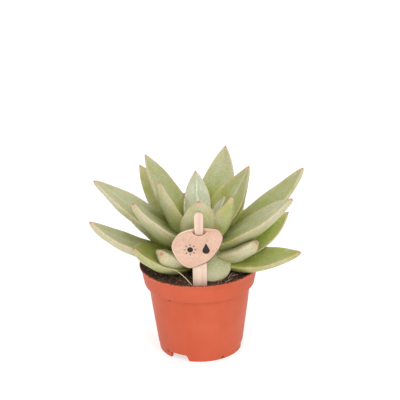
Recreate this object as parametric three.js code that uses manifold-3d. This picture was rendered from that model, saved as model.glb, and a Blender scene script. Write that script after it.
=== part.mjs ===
// Potted miranda echeveria: a rosette of thick pointed leaves in a small nursery pot,
// with a wooden stick in the soil that carries a card tag. Millimetres, +Z up,
// origin at the centre of the pot's underside, -Y towards the label.
import * as THREE from 'three';
import { mergeVertices } from 'three/addons/utils/BufferGeometryUtils.js';
import Module from 'manifold-3d';

const wasm = await Module();
wasm.setup();

// Driving dimensions
const RIM_DIAMETER = 85;
const POT_HEIGHT = 64.6;
const POT_SIDES = 40;
const FLOOR_UNDERSIDE = 3;
const FLOOR_THICKNESS = 1.6;
const CENTRE_PAD_RADIUS = 7;
const FOOT_WIDTH = 2.6;
const NOTCH_LEFT = 6.7;
const NOTCH_RIGHT = 8.8;
const NOTCH_SLOPE = 1.9;
const NOTCH_HEIGHT = 4.6;
const NOTCH_DIRECTIONS = [-123, -3, 117];

const SOIL_EDGE_HEIGHT = 63;
const SOIL_CROWN_HEIGHT = 63.8;
const SOIL_SIDES = 32;
const SOIL_RADIUS = 39.8;

const STEM_FOOT = 50;
const STEM_NECK_HEIGHT = 68;
const STEM_TOP = 95;
const STEM_NECK_RADIUS = 8.5;
const STEM_TOP_RADIUS = 2.2;
const STEM_SIDES = 16;

const LEAF_RINGS = 8;
const LEAF_CROWDING = 1.35;
const LEAF_WIDEST = 0.46;
const ROUND_LEAF_WIDEST = 0.6;
const LEAF_SEAT_SHARE = 0.45;
const LEAF_SEAT_DEPTH = 2.5;
const LEAF_HALF_POINTS = 4;
const LEAF_MARGIN = 1.3;
const ROUND_LEAF_MARGIN = 3.6;
const LEAF_HOLLOW = 0.2;
const ROUND_LEAF_HOLLOW = -0.12;
const LEAF_PLUMPNESS = 0.34;

const STICK_WIDTH = 9.7;
const STICK_NECK_WIDTH = 5.4;
const STICK_HEAD_WIDTH = 6.4;
const STICK_THICKNESS = 1.4;
const STICK_POINT = 52.2;
const STICK_POINT_LENGTH = 4.8;
const STICK_SHOULDER = 97;
const STICK_NECK = 104;
const STICK_TOP = 118.6;
const LABEL_DISTANCE = 36.5;
const LABEL_SHIFT = 0.4;
const LABEL_LEAN = 5;
const LABEL_FOOT = 64;

const TAG_THICKNESS = 0.8;
const TAG_BEND = STICK_THICKNESS + TAG_THICKNESS + 0.65;
const TAG_BEND_FROM = 99;
const TAG_BEND_TO = 110.5;
const TAG_COLUMNS = 26;
const TAG_ROWS_BELOW = 6;
const TAG_ROWS_ABOVE = 4;
const SLIT_CENTRE = 0.2;
const SLIT_REACH = 5.2;
const SLIT_SAG = 101.9;
const SLIT_RISE = 2.8;
const NECK_ROOM = 3.05;
const SLIT_OPENING = 0.25;
const TONGUE_OVERLAP = 0.9;
const TAG_OUTLINE_STEPS = 96;

const GAP = 0.3;

// Leaves from the soil upwards. Each row: name, direction in degrees from +X, seat height on
// the stem, rise above level, extra rise gained towards the tip, length, width, roll about its
// own length, sideways sweep, and bluntness of the tip (0 pointed, 1 round).
const LEAVES = [
  ['leaf_01', -165, 71, 11, 26, 79, 27, -3, -9, 0.2],
  ['leaf_02', -127, 71, 12, 20, 42, 22, -10, 4, 1],
  ['leaf_03', -143, 69, 12, 22, 55, 33, -18, 0, 0.1],
  ['leaf_04', -69, 80, 8, -78, 37, 28, 0, 0, 1],
  ['leaf_05', -27, 71, 0, 20, 73, 27, 11, 6, 0.25],
  ['leaf_06', 28, 71, 5, 6, 52, 24, 0, 0, 0.1],
  ['leaf_07', 80, 71, 5, 8, 62, 25, 0, 0, 0.1],
  ['leaf_08', 128, 71, 5, 8, 60, 25, 0, 0, 0.1],
  ['leaf_09', -38, 70, 19, 12, 49, 20, 0, 2, 1],
  ['leaf_10', -10, 74, 6, 42, 68, 26, 40, 8, 0],
  ['leaf_11', 166, 73, 26, 10, 60, 26, 0, 0, 0],
  ['leaf_12', 54, 75, 11, 8, 54, 24, 0, 0, 0],
  ['leaf_13', 104, 75, 14, 8, 58, 25, 0, 0, 0],
  ['leaf_14', -98, 75, 24, 6, 35, 21, 0, 0, 0.3],
  ['leaf_15', 180, 76, 39, -5, 85, 29, -8, -5, 0.25],
  ['leaf_16', -30, 77, 31, 6, 81, 29, 13, 11, 0.25],
  ['leaf_17', 5, 76, 25, 22, 90, 29.5, 4, 13, 0.2],
  ['leaf_18', 128, 77, 31, 9, 76, 26, -6, 4, 0],
  ['leaf_19', 80, 78, 26, 10, 54, 24, 0, 0, 0],
  ['leaf_20', 146, 80, 57, -4, 71, 29, 2, 2, 0],
  ['leaf_21', 62, 80, 43, 11, 74, 28, -6, 9, 0.05],
  ['leaf_22', -150, 80, 32, 16, 61, 28, -9, -6, 0.25],
  ['leaf_23', 34, 79, 43, 15, 59, 28, 16, 4, 0],
  ['leaf_24', -85, 77, 51, 8, 59, 27.5, 2, -9, 0.25],
  ['leaf_25', -54, 80, 42, 19, 60, 23, 2, 0, 0],
  ['leaf_26', 106, 82, 30, 8, 40, 22, 0, 0, 0],
  ['leaf_27', 14, 82, 49, 13, 62, 30, 14, 0, 0],
  ['leaf_28', -162, 82, 58, 7, 54, 24, 2, 5, 0],
  ['leaf_29', 88, 86, 52, 7, 46, 19, 6, 10, 0],
  ['leaf_30', 2, 86, 54, 8, 34, 14, 8, 0, 0],
  ['leaf_31', 148, 87, 66, 8, 27, 12, 0, 0, 0],
  ['leaf_32', -120, 89, 74, 10, 18, 9, 0, 0, 0],
  ['leaf_33', 60, 90, 76, 10, 16, 8, 0, 0, 0],
];

// Looks
const TERRACOTTA = { color: 0xd76f53, roughness: 0.62, metalness: 0 };
const SOIL_BROWN = { color: 0x3a2820, roughness: 0.97, metalness: 0 };
const STEM_GREEN = { color: 0x97a06b, roughness: 0.7, metalness: 0 };
const LEAF_GREEN = { color: 0xaab583, roughness: 0.42, metalness: 0 };
const PALE_WOOD = { color: 0xf3dcc6, roughness: 0.75, metalness: 0 };
const KRAFT_CARD = { color: 0xdcb598, roughness: 0.85, metalness: 0 };

const radians = THREE.MathUtils.degToRad;
const clamp = THREE.MathUtils.clamp;
const lerp = THREE.MathUtils.lerp;

// Solids: joining, cutting and turning back into meshes
function solidOf(geometry) {
  const bare = geometry.clone();
  bare.deleteAttribute('normal');
  bare.deleteAttribute('uv');
  const merged = mergeVertices(bare, 1e-4);
  return new wasm.Manifold(new wasm.Mesh({
    numProp: 3,
    vertProperties: new Float32Array(merged.attributes.position.array),
    triVerts: new Uint32Array(merged.index.array),
  }));
}

function geometryOf(solid) {
  const mesh = solid.getMesh();
  const geometry = new THREE.BufferGeometry();
  geometry.setAttribute('position', new THREE.BufferAttribute(mesh.vertProperties, 3));
  geometry.setIndex(new THREE.BufferAttribute(mesh.triVerts, 1));
  geometry.computeVertexNormals();
  return geometry;
}

function largestBody(solid) {
  const bodies = solid.decompose();
  return bodies.reduce((best, body) => (body.volume() > best.volume() ? body : best));
}

function addMesh(group, name, geometry, look) {
  const mesh = new THREE.Mesh(geometry, new THREE.MeshStandardMaterial(look));
  mesh.name = name;
  group.add(mesh);
}

// A lathe in three.js turns about Y, so it is stood up to turn about Z
function turned(profile, sides) {
  const points = profile.map(([radius, height]) => new THREE.Vector2(radius, height));
  return new THREE.LatheGeometry(points, sides).rotateX(Math.PI / 2);
}

// Pot: radius and height along the outer wall, from the foot up over the tapered body, the
// step and the plain band to the lip, then down the inner wall
const rimRadius = RIM_DIAMETER / 2;
const soilFloor = FLOOR_UNDERSIDE + FLOOR_THICKNESS + GAP;
const outerWall = [
  [29.4, 0], [29.7, 1], [30.0, 4.6], [30.5, 5.6], [32.4, 20], [34.4, 34.5], [36.1, 48.9],
  [36.5, 49.6], [38.4, 50.0], [39.05, 50.5], [39.3, 51.4], [40.2, 56], [41.1, 62],
  [rimRadius - 0.3, 63.2], [rimRadius, 63.8], [rimRadius - 0.2, POT_HEIGHT],
];
const innerWall = [
  [rimRadius - 1.1, POT_HEIGHT], [40.1, 62.8], [38.0, 52.4], [37.4, 51.4], [35.3, 50.9],
  [34.9, 49.9], [33.1, 34.5], [29.2, 6], [28.6, FLOOR_UNDERSIDE + FLOOR_THICKNESS],
];

function potSolid() {
  const footInner = outerWall[0][0] - FOOT_WIDTH;
  const underside = [
    [0, 0], [CENTRE_PAD_RADIUS, 0], [CENTRE_PAD_RADIUS, FLOOR_UNDERSIDE],
    [footInner, FLOOR_UNDERSIDE], [footInner, 0],
  ];
  const profile = [
    ...underside, ...outerWall, ...innerWall, [0, FLOOR_UNDERSIDE + FLOOR_THICKNESS],
  ];
  let pot = solidOf(turned(profile, POT_SIDES));
  for (const direction of NOTCH_DIRECTIONS) {
    const notch = new THREE.Shape();
    notch.moveTo(-NOTCH_LEFT, -1);
    notch.lineTo(NOTCH_RIGHT, -1);
    notch.lineTo(NOTCH_RIGHT - NOTCH_SLOPE, NOTCH_HEIGHT);
    notch.lineTo(-NOTCH_LEFT, NOTCH_HEIGHT);
    const cutter = new THREE.ExtrudeGeometry(notch, { depth: 14, bevelEnabled: false });
    cutter.rotateX(Math.PI / 2);
    cutter.translate(0, -20, 0);
    cutter.rotateZ(radians(direction + 90));
    pot = pot.subtract(solidOf(cutter));
  }
  return pot;
}

// Potting soil: an uneven crown that is heaped a little against the rim on the left
function soilHeight(x, y) {
  const reach = clamp(Math.hypot(x, y) / (rimRadius - 2), 0, 1);
  const crown = SOIL_EDGE_HEIGHT + (SOIL_CROWN_HEIGHT - SOIL_EDGE_HEIGHT) * (1 - reach ** 2);
  const lumps = 0.45 * Math.sin(0.31 * x + 1.1) * Math.cos(0.27 * y - 0.4)
    + 0.3 * Math.sin(0.63 * y + 0.52 * x);
  const heap = 1.3 * clamp(-x / rimRadius, 0, 1) * reach;
  return crown + lumps + heap;
}

function soilSolid(grow = 0) {
  const rings = [7, 14, 21, 28, 34, SOIL_RADIUS];
  const profile = [
    [0, soilFloor], [28.3, soilFloor], [28.9, 6.2], [32.8, 34.5], [34.55, 49.8], [34.9, 51.3],
    [37.1, 51.8], [37.6, 52.7], [39.6, 62], ...rings.reverse().map((radius) => [radius, 100]), [0, 100],
  ];
  const geometry = turned(profile, SOIL_SIDES);
  const place = geometry.attributes.position;
  for (let i = 0; i < place.count; i += 1) {
    if (place.getZ(i) > 99) {
      place.setZ(i, soilHeight(place.getX(i), place.getY(i)) + grow);
    }
  }
  return solidOf(geometry);
}

// Stem: a short tapered axis that stands in a plain hole in the soil
function stemRadius(height) {
  const climb = clamp((height - STEM_NECK_HEIGHT) / (STEM_TOP - STEM_NECK_HEIGHT), 0, 1);
  return STEM_NECK_RADIUS + (STEM_TOP_RADIUS - STEM_NECK_RADIUS) * climb;
}

function stemSolid(grow = 0) {
  const neck = STEM_NECK_RADIUS + grow;
  const top = STEM_TOP_RADIUS + grow;
  const profile = [
    [0, STEM_FOOT - grow], [neck - 2, STEM_FOOT - grow], [neck - 0.6, 58],
    [neck, STEM_NECK_HEIGHT], [top, STEM_TOP - 1], [top * 0.5, STEM_TOP + grow],
    [0, STEM_TOP + grow],
  ];
  return solidOf(turned(profile, STEM_SIDES));
}

// Leaf: narrow seat, widest before the middle, pointed or blunt tip, a shallow channel along
// the upper face and a rounded keel below. The seat starts inside the stem.
function leafHalfWidth(along, width, blunt) {
  const widest = lerp(LEAF_WIDEST, ROUND_LEAF_WIDEST, blunt);
  const rise = Math.sin((Math.PI / 2) * clamp(along / widest, 0, 1));
  const fall = clamp((along - widest) / (1 - widest), 0, 1);
  const pointed = 1 - fall ** 2;
  const round = Math.sqrt(1 - fall ** 2.4);
  const outer = pointed * (1 - blunt) + round * blunt;
  const inner = LEAF_SEAT_SHARE + (1 - LEAF_SEAT_SHARE) * rise;
  return (width / 2) * (along < widest ? inner : outer);
}

function leafDepth(along, width, blunt) {
  const fall = clamp((along - 0.3) / 0.7, 0, 1);
  const tapered = (1 - fall ** 2) * (1 - blunt) + Math.sqrt(1 - fall ** 2.6) * blunt;
  return LEAF_PLUMPNESS * width * (0.85 + 0.15 * clamp(along / 0.3, 0, 1)) * tapered;
}

function leafSection(along, width, blunt, grow) {
  const half = leafHalfWidth(along, width, blunt) + grow;
  const depth = leafDepth(along, width, blunt) + grow;
  const hollow = lerp(LEAF_HOLLOW, ROUND_LEAF_HOLLOW, blunt);
  const channel = hollow * depth * clamp(0.2 + 1.2 * along, 0, 1);
  const margin = lerp(LEAF_MARGIN, ROUND_LEAF_MARGIN, blunt);
  const edge = Math.min(margin, half * 0.8) / 2 + grow;
  const keel = 2 - 0.5 * along;
  const upper = [];
  const lower = [];
  for (let i = 0; i <= LEAF_HALF_POINTS; i += 1) {
    const across = Math.cos((Math.PI * i) / LEAF_HALF_POINTS);
    const inset = Math.abs(across);
    upper.push([half * across, edge - channel * (1 - inset ** 1.7)]);
    lower.push([half * across, -edge - depth * (1 - inset ** keel) ** 0.85]);
  }
  return [...upper, ...lower.reverse()];
}

// Sections lie closer together towards the tip
function ringPlace(ring) {
  return 1 - (1 - ring / LEAF_RINGS) ** LEAF_CROWDING;
}

function leafSolid(leaf, grow = 0) {
  const [, direction, seat, rise, curl, length, width, roll, sweep, blunt] = leaf;
  const steps = 6;
  const place = new THREE.Vector3(Math.cos(radians(direction)), Math.sin(radians(direction)), 0);
  place.multiplyScalar(Math.max(stemRadius(seat) - LEAF_SEAT_DEPTH, 0.5)).setZ(seat);
  const pointsRound = 2 * (LEAF_HALF_POINTS + 1);
  const vertices = [];
  const triangles = [];
  const frameAt = (along) => {
    const climb = radians(rise + curl * along);
    const turn = radians(direction + sweep * along);
    const forward = new THREE.Vector3(
      Math.cos(turn) * Math.cos(climb), Math.sin(turn) * Math.cos(climb), Math.sin(climb),
    );
    const side = new THREE.Vector3(-Math.sin(turn), Math.cos(turn), 0);
    side.applyAxisAngle(forward, radians(roll));
    return { forward, side, up: forward.clone().cross(side) };
  };
  for (let ring = 0; ring < LEAF_RINGS; ring += 1) {
    const along = ringPlace(ring);
    const stretch = ringPlace(ring + 1) - along;
    const { side, up } = frameAt(along);
    for (const [across, height] of leafSection(along, width, blunt, grow)) {
      vertices.push(place.clone().addScaledVector(side, across).addScaledVector(up, height));
    }
    for (let step = 0; step < steps; step += 1) {
      const middle = along + (stretch * (step + 0.5)) / steps;
      place.addScaledVector(frameAt(middle).forward, (length * stretch) / steps);
    }
  }
  for (let ring = 0; ring + 1 < LEAF_RINGS; ring += 1) {
    for (let point = 0; point < pointsRound; point += 1) {
      const here = ring * pointsRound + point;
      const next = ring * pointsRound + ((point + 1) % pointsRound);
      triangles.push([here, next, next + pointsRound], [here, next + pointsRound, here + pointsRound]);
    }
  }
  const tip = vertices.length;
  vertices.push(place.clone().addScaledVector(frameAt(1).forward, grow));
  const last = (LEAF_RINGS - 1) * pointsRound;
  for (let point = 0; point < pointsRound; point += 1) {
    triangles.push([last + point, last + ((point + 1) % pointsRound), tip]);
  }
  for (let point = 1; point + 1 < pointsRound; point += 1) {
    triangles.push([0, point + 1, point]);
  }
  const solid = new wasm.Manifold(new wasm.Mesh({
    numProp: 3,
    vertProperties: new Float32Array(vertices.flatMap((vertex) => vertex.toArray())),
    triVerts: new Uint32Array(triangles.flat()),
  }));
  return solid;
}

// Label: a flat stick whose neck passes through a curved slit in the card tag
function stickShape(grow = 0) {
  const shape = new THREE.Shape();
  const half = STICK_WIDTH / 2 + grow;
  const neck = STICK_NECK_WIDTH / 2 + grow;
  const head = STICK_HEAD_WIDTH / 2 + grow;
  shape.moveTo(-half, STICK_POINT + STICK_POINT_LENGTH);
  shape.lineTo(-1 - grow, STICK_POINT - grow);
  shape.lineTo(1 + grow, STICK_POINT - grow);
  shape.lineTo(half, STICK_POINT + STICK_POINT_LENGTH);
  shape.lineTo(half, STICK_SHOULDER - 2 + grow);
  shape.quadraticCurveTo(half, STICK_SHOULDER + grow, neck, STICK_SHOULDER + 1 + grow);
  shape.lineTo(neck, STICK_NECK);
  shape.quadraticCurveTo(head, STICK_NECK + 3.5, head, STICK_TOP - head);
  shape.absarc(0, STICK_TOP - head, head, 0, Math.PI, false);
  shape.quadraticCurveTo(-head, STICK_NECK + 3.5, -neck, STICK_NECK);
  shape.lineTo(-neck, STICK_SHOULDER + 1 + grow);
  shape.quadraticCurveTo(-half, STICK_SHOULDER + grow, -half, STICK_SHOULDER - 2 + grow);
  return shape;
}

// Shapes are drawn in X and height, so an extrusion is stood up and moved to its distance.
// The whole label leans outwards a little from its foot at the soil.
function stoodUp(shape, thickness, front, segments) {
  const options = { depth: thickness, bevelEnabled: false, curveSegments: segments };
  const geometry = new THREE.ExtrudeGeometry(shape, options);
  geometry.rotateX(Math.PI / 2);
  return geometry.translate(0, front + thickness, 0);
}

function leaned(geometry) {
  geometry.translate(0, 0, -LABEL_FOOT);
  geometry.rotateX(radians(LABEL_LEAN));
  return geometry.translate(LABEL_SHIFT, -LABEL_DISTANCE, LABEL_FOOT);
}

function stickSolid(grow = 0) {
  const front = -STICK_THICKNESS / 2 - grow;
  return solidOf(leaned(stoodUp(stickShape(grow), STICK_THICKNESS + 2 * grow, front, 6)));
}

const tagCorners = [
  [-4.5, 106.0], [-14, 102.8], [-18.6, 94.5], [-15.8, 85.6], [-11, 79.4], [-5.5, 77.4],
  [3.9, 80.8], [9.2, 85.2], [14, 92.3], [16.2, 99.7], [14.3, 104.2], [9.3, 106.2],
];

// The slit sags in the middle. The card below it stays flat in front of the stick's neck, the
// tongue above it is pushed behind the neck, and both meet again at the slit's two ends.
function slitHeight(x) {
  return SLIT_SAG + SLIT_RISE * ((x - SLIT_CENTRE) / SLIT_REACH) ** 2;
}

function neckSide(x) {
  const end = x < 0 ? SLIT_REACH - SLIT_CENTRE : SLIT_REACH + SLIT_CENTRE;
  return 1 - THREE.MathUtils.smoothstep(Math.abs(x), NECK_ROOM, end);
}

function cardDistance(x, z, above) {
  const bent = TAG_BEND * THREE.MathUtils.smoothstep(z, TAG_BEND_FROM, TAG_BEND_TO);
  return bent + (TAG_BEND * above - bent) * neckSide(x);
}

// The tongue hangs a little behind the card below it, and near the slit's ends it stands clear
function tongueStart(x) {
  return lerp(SLIT_OPENING, -TONGUE_OVERLAP, clamp((neckSide(x) - 0.3) / 0.7, 0, 1));
}

// Lowest and highest point of a closed outline at this x
function outlineSpan(outline, x) {
  const heights = [];
  outline.forEach((from, i) => {
    const to = outline[(i + 1) % outline.length];
    if ((from.x - x) * (to.x - x) <= 0 && Math.abs(to.x - from.x) > 1e-9) {
      heights.push(lerp(from.y, to.y, (x - from.x) / (to.x - from.x)));
    }
  });
  return [Math.min(...heights), Math.max(...heights)];
}

// Columns across the card, closer together at its two sides, with one at each end of the slit
function tagColumns(left, right) {
  const columns = Array.from({ length: TAG_COLUMNS + 1 }, (_, i) => {
    const turn = (Math.PI * i) / TAG_COLUMNS;
    return (left + right) / 2 - ((right - left) / 2) * Math.cos(turn);
  });
  for (const end of [SLIT_CENTRE - SLIT_REACH, SLIT_CENTRE + SLIT_REACH]) {
    const gaps = columns.map((x) => Math.abs(x - end));
    columns[gaps.indexOf(Math.min(...gaps))] = end;
  }
  return columns;
}

function evenly(from, to, steps) {
  return Array.from({ length: steps + 1 }, (_, i) => lerp(from, to, i / steps));
}

function tagSolid() {
  const corners = tagCorners.map(([x, z]) => new THREE.Vector3(x, z, 0));
  const outline = new THREE.CatmullRomCurve3(corners, true).getPoints(TAG_OUTLINE_STEPS).slice(1);
  const left = Math.min(...outline.map((point) => point.x)) + 0.05;
  const right = Math.max(...outline.map((point) => point.x)) - 0.05;
  const slitEnds = [SLIT_CENTRE - SLIT_REACH, SLIT_CENTRE + SLIT_REACH];
  const columns = tagColumns(left, right).map((x) => {
    const [bottom, top] = outlineSpan(outline, x);
    const open = x > slitEnds[0] && x < slitEnds[1];
    let slit = slitHeight(x);
    if (!open) {
      const end = x <= slitEnds[0] ? slitEnds[0] : slitEnds[1];
      const [low, high] = outlineSpan(outline, end);
      slit = lerp(bottom, top, (slitHeight(end) - low) / (high - low));
    }
    const rows = evenly(bottom, slit, TAG_ROWS_BELOW);
    return { x, open, below: rows, above: evenly(slit + tongueStart(x), top, TAG_ROWS_ABOVE) };
  });

  // Each corner of the card's grid has one point in front and one behind
  const vertices = [];
  const corner = (x, z, above) => {
    const front = -STICK_THICKNESS / 2 - GAP - TAG_THICKNESS + cardDistance(x, z, above);
    vertices.push([x, front, z], [x, front + TAG_THICKNESS, z]);
    return vertices.length - 2;
  };
  const grid = columns.map(({ x, open, below, above }) => {
    const low = below.map((z) => corner(x, z, 0));
    const joint = open ? corner(x, above[0], 1) : low[TAG_ROWS_BELOW];
    return { low, high: [joint, ...above.slice(1).map((z) => corner(x, z, 1))] };
  });

  const triangles = [];
  const quad = (a, b, c, d) => {
    if (a !== b && a !== c && b !== c) triangles.push([a, b, c]);
    if (a !== c && a !== d && c !== d) triangles.push([a, c, d]);
  };
  const wall = (a, b) => quad(b, a, a + 1, b + 1);
  grid.slice(1).forEach((here, i) => {
    const before = grid[i];
    for (const part of ['low', 'high']) {
      const [near, far] = [before[part], here[part]];
      for (let row = 0; row + 1 < near.length; row += 1) {
        quad(near[row], far[row], far[row + 1], near[row + 1]);
        quad(near[row + 1] + 1, far[row + 1] + 1, far[row] + 1, near[row] + 1);
      }
    }
    wall(before.low[0], here.low[0]);
    wall(here.high[TAG_ROWS_ABOVE], before.high[TAG_ROWS_ABOVE]);
    if (columns[i].open || columns[i + 1].open) {
      wall(here.low[TAG_ROWS_BELOW], before.low[TAG_ROWS_BELOW]);
      wall(before.high[0], here.high[0]);
    }
  });
  const [first, last] = [grid[0], grid[TAG_COLUMNS]];
  const sides = [[...first.low, ...first.high.slice(1)], [...last.low, ...last.high.slice(1)]];
  for (let row = 0; row + 1 < sides[0].length; row += 1) {
    wall(sides[0][row + 1], sides[0][row]);
    wall(sides[1][row], sides[1][row + 1]);
  }
  const geometry = new THREE.BufferGeometry();
  geometry.setAttribute('position', new THREE.Float32BufferAttribute(vertices.flat(), 3));
  geometry.setIndex(triangles.flat());
  return solidOf(leaned(geometry));
}

// Assembly
const group = new THREE.Group();
const pot = potSolid();
addMesh(group, 'pot', geometryOf(pot), TERRACOTTA);

const soil = soilSolid().subtract(stemSolid(GAP)).subtract(stickSolid(GAP));
addMesh(group, 'potting_soil', geometryOf(soil), SOIL_BROWN);
addMesh(group, 'rosette_stem', geometryOf(stemSolid()), STEM_GREEN);
addMesh(group, 'label_stick', geometryOf(stickSolid()), PALE_WOOD);
addMesh(group, 'label_tag', geometryOf(tagSolid()), KRAFT_CARD);

// Each leaf yields to the stem, the soil, the label's stick and the leaves already in place
let taken = stemSolid(GAP).add(soilSolid(GAP)).add(stickSolid(GAP));
for (const leaf of LEAVES) {
  const body = largestBody(leafSolid(leaf).subtract(taken));
  addMesh(group, leaf[0], geometryOf(body), LEAF_GREEN);
  taken = taken.add(leafSolid(leaf, GAP + 0.1));
}

export default group;
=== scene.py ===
import math

import bmesh
import bpy
import numpy as np
from mathutils import Matrix, Vector


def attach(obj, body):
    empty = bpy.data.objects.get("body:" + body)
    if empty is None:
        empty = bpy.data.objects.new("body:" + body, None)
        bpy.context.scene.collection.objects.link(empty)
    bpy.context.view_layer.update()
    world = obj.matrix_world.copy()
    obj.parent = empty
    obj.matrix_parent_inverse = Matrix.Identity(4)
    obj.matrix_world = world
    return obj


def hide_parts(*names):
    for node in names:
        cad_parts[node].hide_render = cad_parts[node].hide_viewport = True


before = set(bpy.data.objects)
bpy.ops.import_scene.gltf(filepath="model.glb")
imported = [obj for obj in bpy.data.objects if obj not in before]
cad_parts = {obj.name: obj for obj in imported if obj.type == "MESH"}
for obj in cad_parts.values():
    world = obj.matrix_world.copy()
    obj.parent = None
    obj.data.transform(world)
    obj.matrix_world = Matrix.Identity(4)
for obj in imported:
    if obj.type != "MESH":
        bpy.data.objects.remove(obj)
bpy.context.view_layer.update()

MM = 0.001

# Camera, from the photograph's own view of the pot's rim and foot
VIEW_DISTANCE = 1.0
SENSOR_WIDTH = 36
VIEW_ELEVATION = 21.006
VIEW_ROLL = 1.306
VIEW_AIM = (0.001665, 0.0, 0.111591)
LENS = 128.7

# Leaves from the soil upwards: direction in degrees from +X, seat height, rise, extra rise
# towards the tip, length, width, roll, sweep, bluntness, then the looks: deep green (partly painted
# shade), blush (below 0 for fresh yellow-green with painted light), gloss and the painted middle
# highlight
LEAVES = [
    (-165, 71, 11, 26, 79, 27, -3, -9, 0.2, 0.35, 0.35, 0.2, 0.6),
    (-127, 71, 12, 20, 42, 22, -10, 4, 1, 0.6, 0.9, 0.2, 0.0),
    (-143, 69, 12, 22, 55, 33, -18, 0, 0.1, 1.0, 0.15, 0.2, 0.1),
    (-69, 80, 8, -78, 37, 28, 0, 0, 1, 0.0, 0.3, 0.2, 0.0),
    (-27, 71, 0, 20, 73, 27, 11, 6, 0.25, 1.0, -0.2, 0.3, 0.0),
    (28, 71, 5, 6, 52, 24, 0, 0, 0.1, 0.5, 0.4, 0.2, 0.2),
    (80, 71, 5, 8, 62, 25, 0, 0, 0.1, 0.4, 0.4, 0.2, 0.2),
    (128, 71, 5, 8, 60, 25, 0, 0, 0.1, 0.4, 0.4, 0.2, 0.2),
    (-38, 70, 19, 12, 49, 20, 0, 2, 1, 0.25, 0.9, 0.2, 0.0),
    (-10, 74, 6, 42, 68, 26, 40, 8, 0, 0.6, -0.6, 0.3, 0.0),
    (166, 73, 26, 10, 60, 26, 0, 0, 0, 0.6, 0.2, 0.1, 0.2),
    (54, 75, 11, 8, 54, 24, 0, 0, 0, 0.4, 0.4, 0.2, 0.2),
    (104, 75, 14, 8, 58, 25, 0, 0, 0, 0.4, 0.4, 0.2, 0.2),
    (-98, 75, 24, 6, 35, 21, 0, 0, 0.3, 0.6, 0.2, 0.2, 0.1),
    (180, 76, 39, -5, 85, 29, -8, -5, 0.25, 0.35, 0.4, 0.3, 0.5),
    (-30, 77, 31, 6, 81, 29, 13, 11, 0.25, 0.35, 0.4, 0.3, 0.6),
    (5, 76, 25, 22, 90, 29.5, 4, 13, 0.2, 0.75, 0.35, 0.3, 0.0),
    (128, 77, 31, 9, 76, 26, -6, 4, 0, 1.0, 1.0, 0.2, 0.0),
    (80, 78, 26, 10, 54, 24, 0, 0, 0, 0.4, 0.3, 0.3, 0.1),
    (146, 80, 57, -4, 71, 29, 2, 2, 0, 0.5, 0.3, 0.3, 0.1),
    (62, 80, 43, 11, 74, 28, -6, 9, 0.05, 0.55, 0.3, 0.3, 0.0),
    (-150, 80, 32, 16, 61, 28, -9, -6, 0.25, 0.35, 0.5, 0.3, 0.1),
    (34, 79, 43, 15, 59, 28, 16, 4, 0, 0.6, -0.7, 0.2, 0.0),
    (-85, 77, 51, 8, 59, 27.5, 2, -9, 0.25, 0.8, 0.35, 0.3, 0.1),
    (-54, 80, 42, 19, 60, 23, 2, 0, 0, 0.9, 0.3, 0.3, 0.1),
    (106, 82, 30, 8, 40, 22, 0, 0, 0, 0.4, 0.3, 0.4, 0.1),
    (14, 82, 49, 13, 62, 30, 14, 0, 0, 0.75, 0.3, 0.65, 0.7),
    (-162, 82, 58, 7, 54, 24, 2, 5, 0, 0.45, 0.5, 0.4, 0.3),
    (88, 86, 52, 7, 46, 19, 6, 10, 0, 0.2, 0.2, 1.0, 0.3),
    (2, 86, 54, 8, 34, 14, 8, 0, 0, 0.3, 0.4, 0.9, 0.3),
    (148, 87, 66, 8, 27, 12, 0, 0, 0, 0.3, 0.2, 0.9, 0.3),
    (-120, 89, 74, 10, 18, 9, 0, 0, 0, 0.3, 0.2, 0.9, 0.2),
    (60, 90, 76, 10, 16, 8, 0, 0, 0, 0.3, 0.2, 0.9, 0.2),
]
LEAF_RINGS = 60
LEAF_HALF_POINTS = 16
LEAF_WIDEST, ROUND_LEAF_WIDEST = 0.46, 0.6
LEAF_SEAT_SHARE = 0.45
LEAF_SEAT_DEPTH = 2.5
LEAF_MARGIN, ROUND_LEAF_MARGIN = 1.3, 3.6
LEAF_HOLLOW, ROUND_LEAF_HOLLOW = 0.2, -0.12
LEAF_PLUMPNESS = 0.34
ROUND_LEAF_EXTRA = 0.9
CREASE_DEPTH, CREASE_WIDTH = 0.3, 0.085
RIDGE_HEIGHT, RIDGE_WIDTH = 0.32, 0.13
MARGIN_CURVE = (52, 0, -52)
TIP_RADIUS = 0.5
TIP_LENGTH = 1.6

STEM_NECK_HEIGHT, STEM_TOP = 68, 95
STEM_NECK_RADIUS, STEM_TOP_RADIUS = 8.5, 2.2
STEM_FOOT = [(0, 50), (6.5, 50), (7.9, 58), (8.3, 63)]
STEM_SIDES = 48
SCARS, SCAR_START, SCAR_PITCH, SCAR_SWELL = 13, 66, 2.2, 0.25

POT_HEIGHT = 64.6
POT_SIDES = 240
POT_CORNER_RADIUS = 0.5
CENTRE_PAD_RADIUS, FOOT_INNER_RADIUS = 7, 26.8
# Small dark marks on the wall, in metres: place and radius
POT_MARKS = (
    ((-0.02345, -0.01865, 0.0046), 0.0019),
    ((0.0152, -0.02555, 0.0016), 0.0017),
    ((-0.02105, -0.02924, 0.0483), 0.0010),
    ((-0.0280, -0.0278, 0.0521), 0.0006),
)
FLOOR_UNDERSIDE, FLOOR_TOP = 3.0, 4.6
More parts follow.
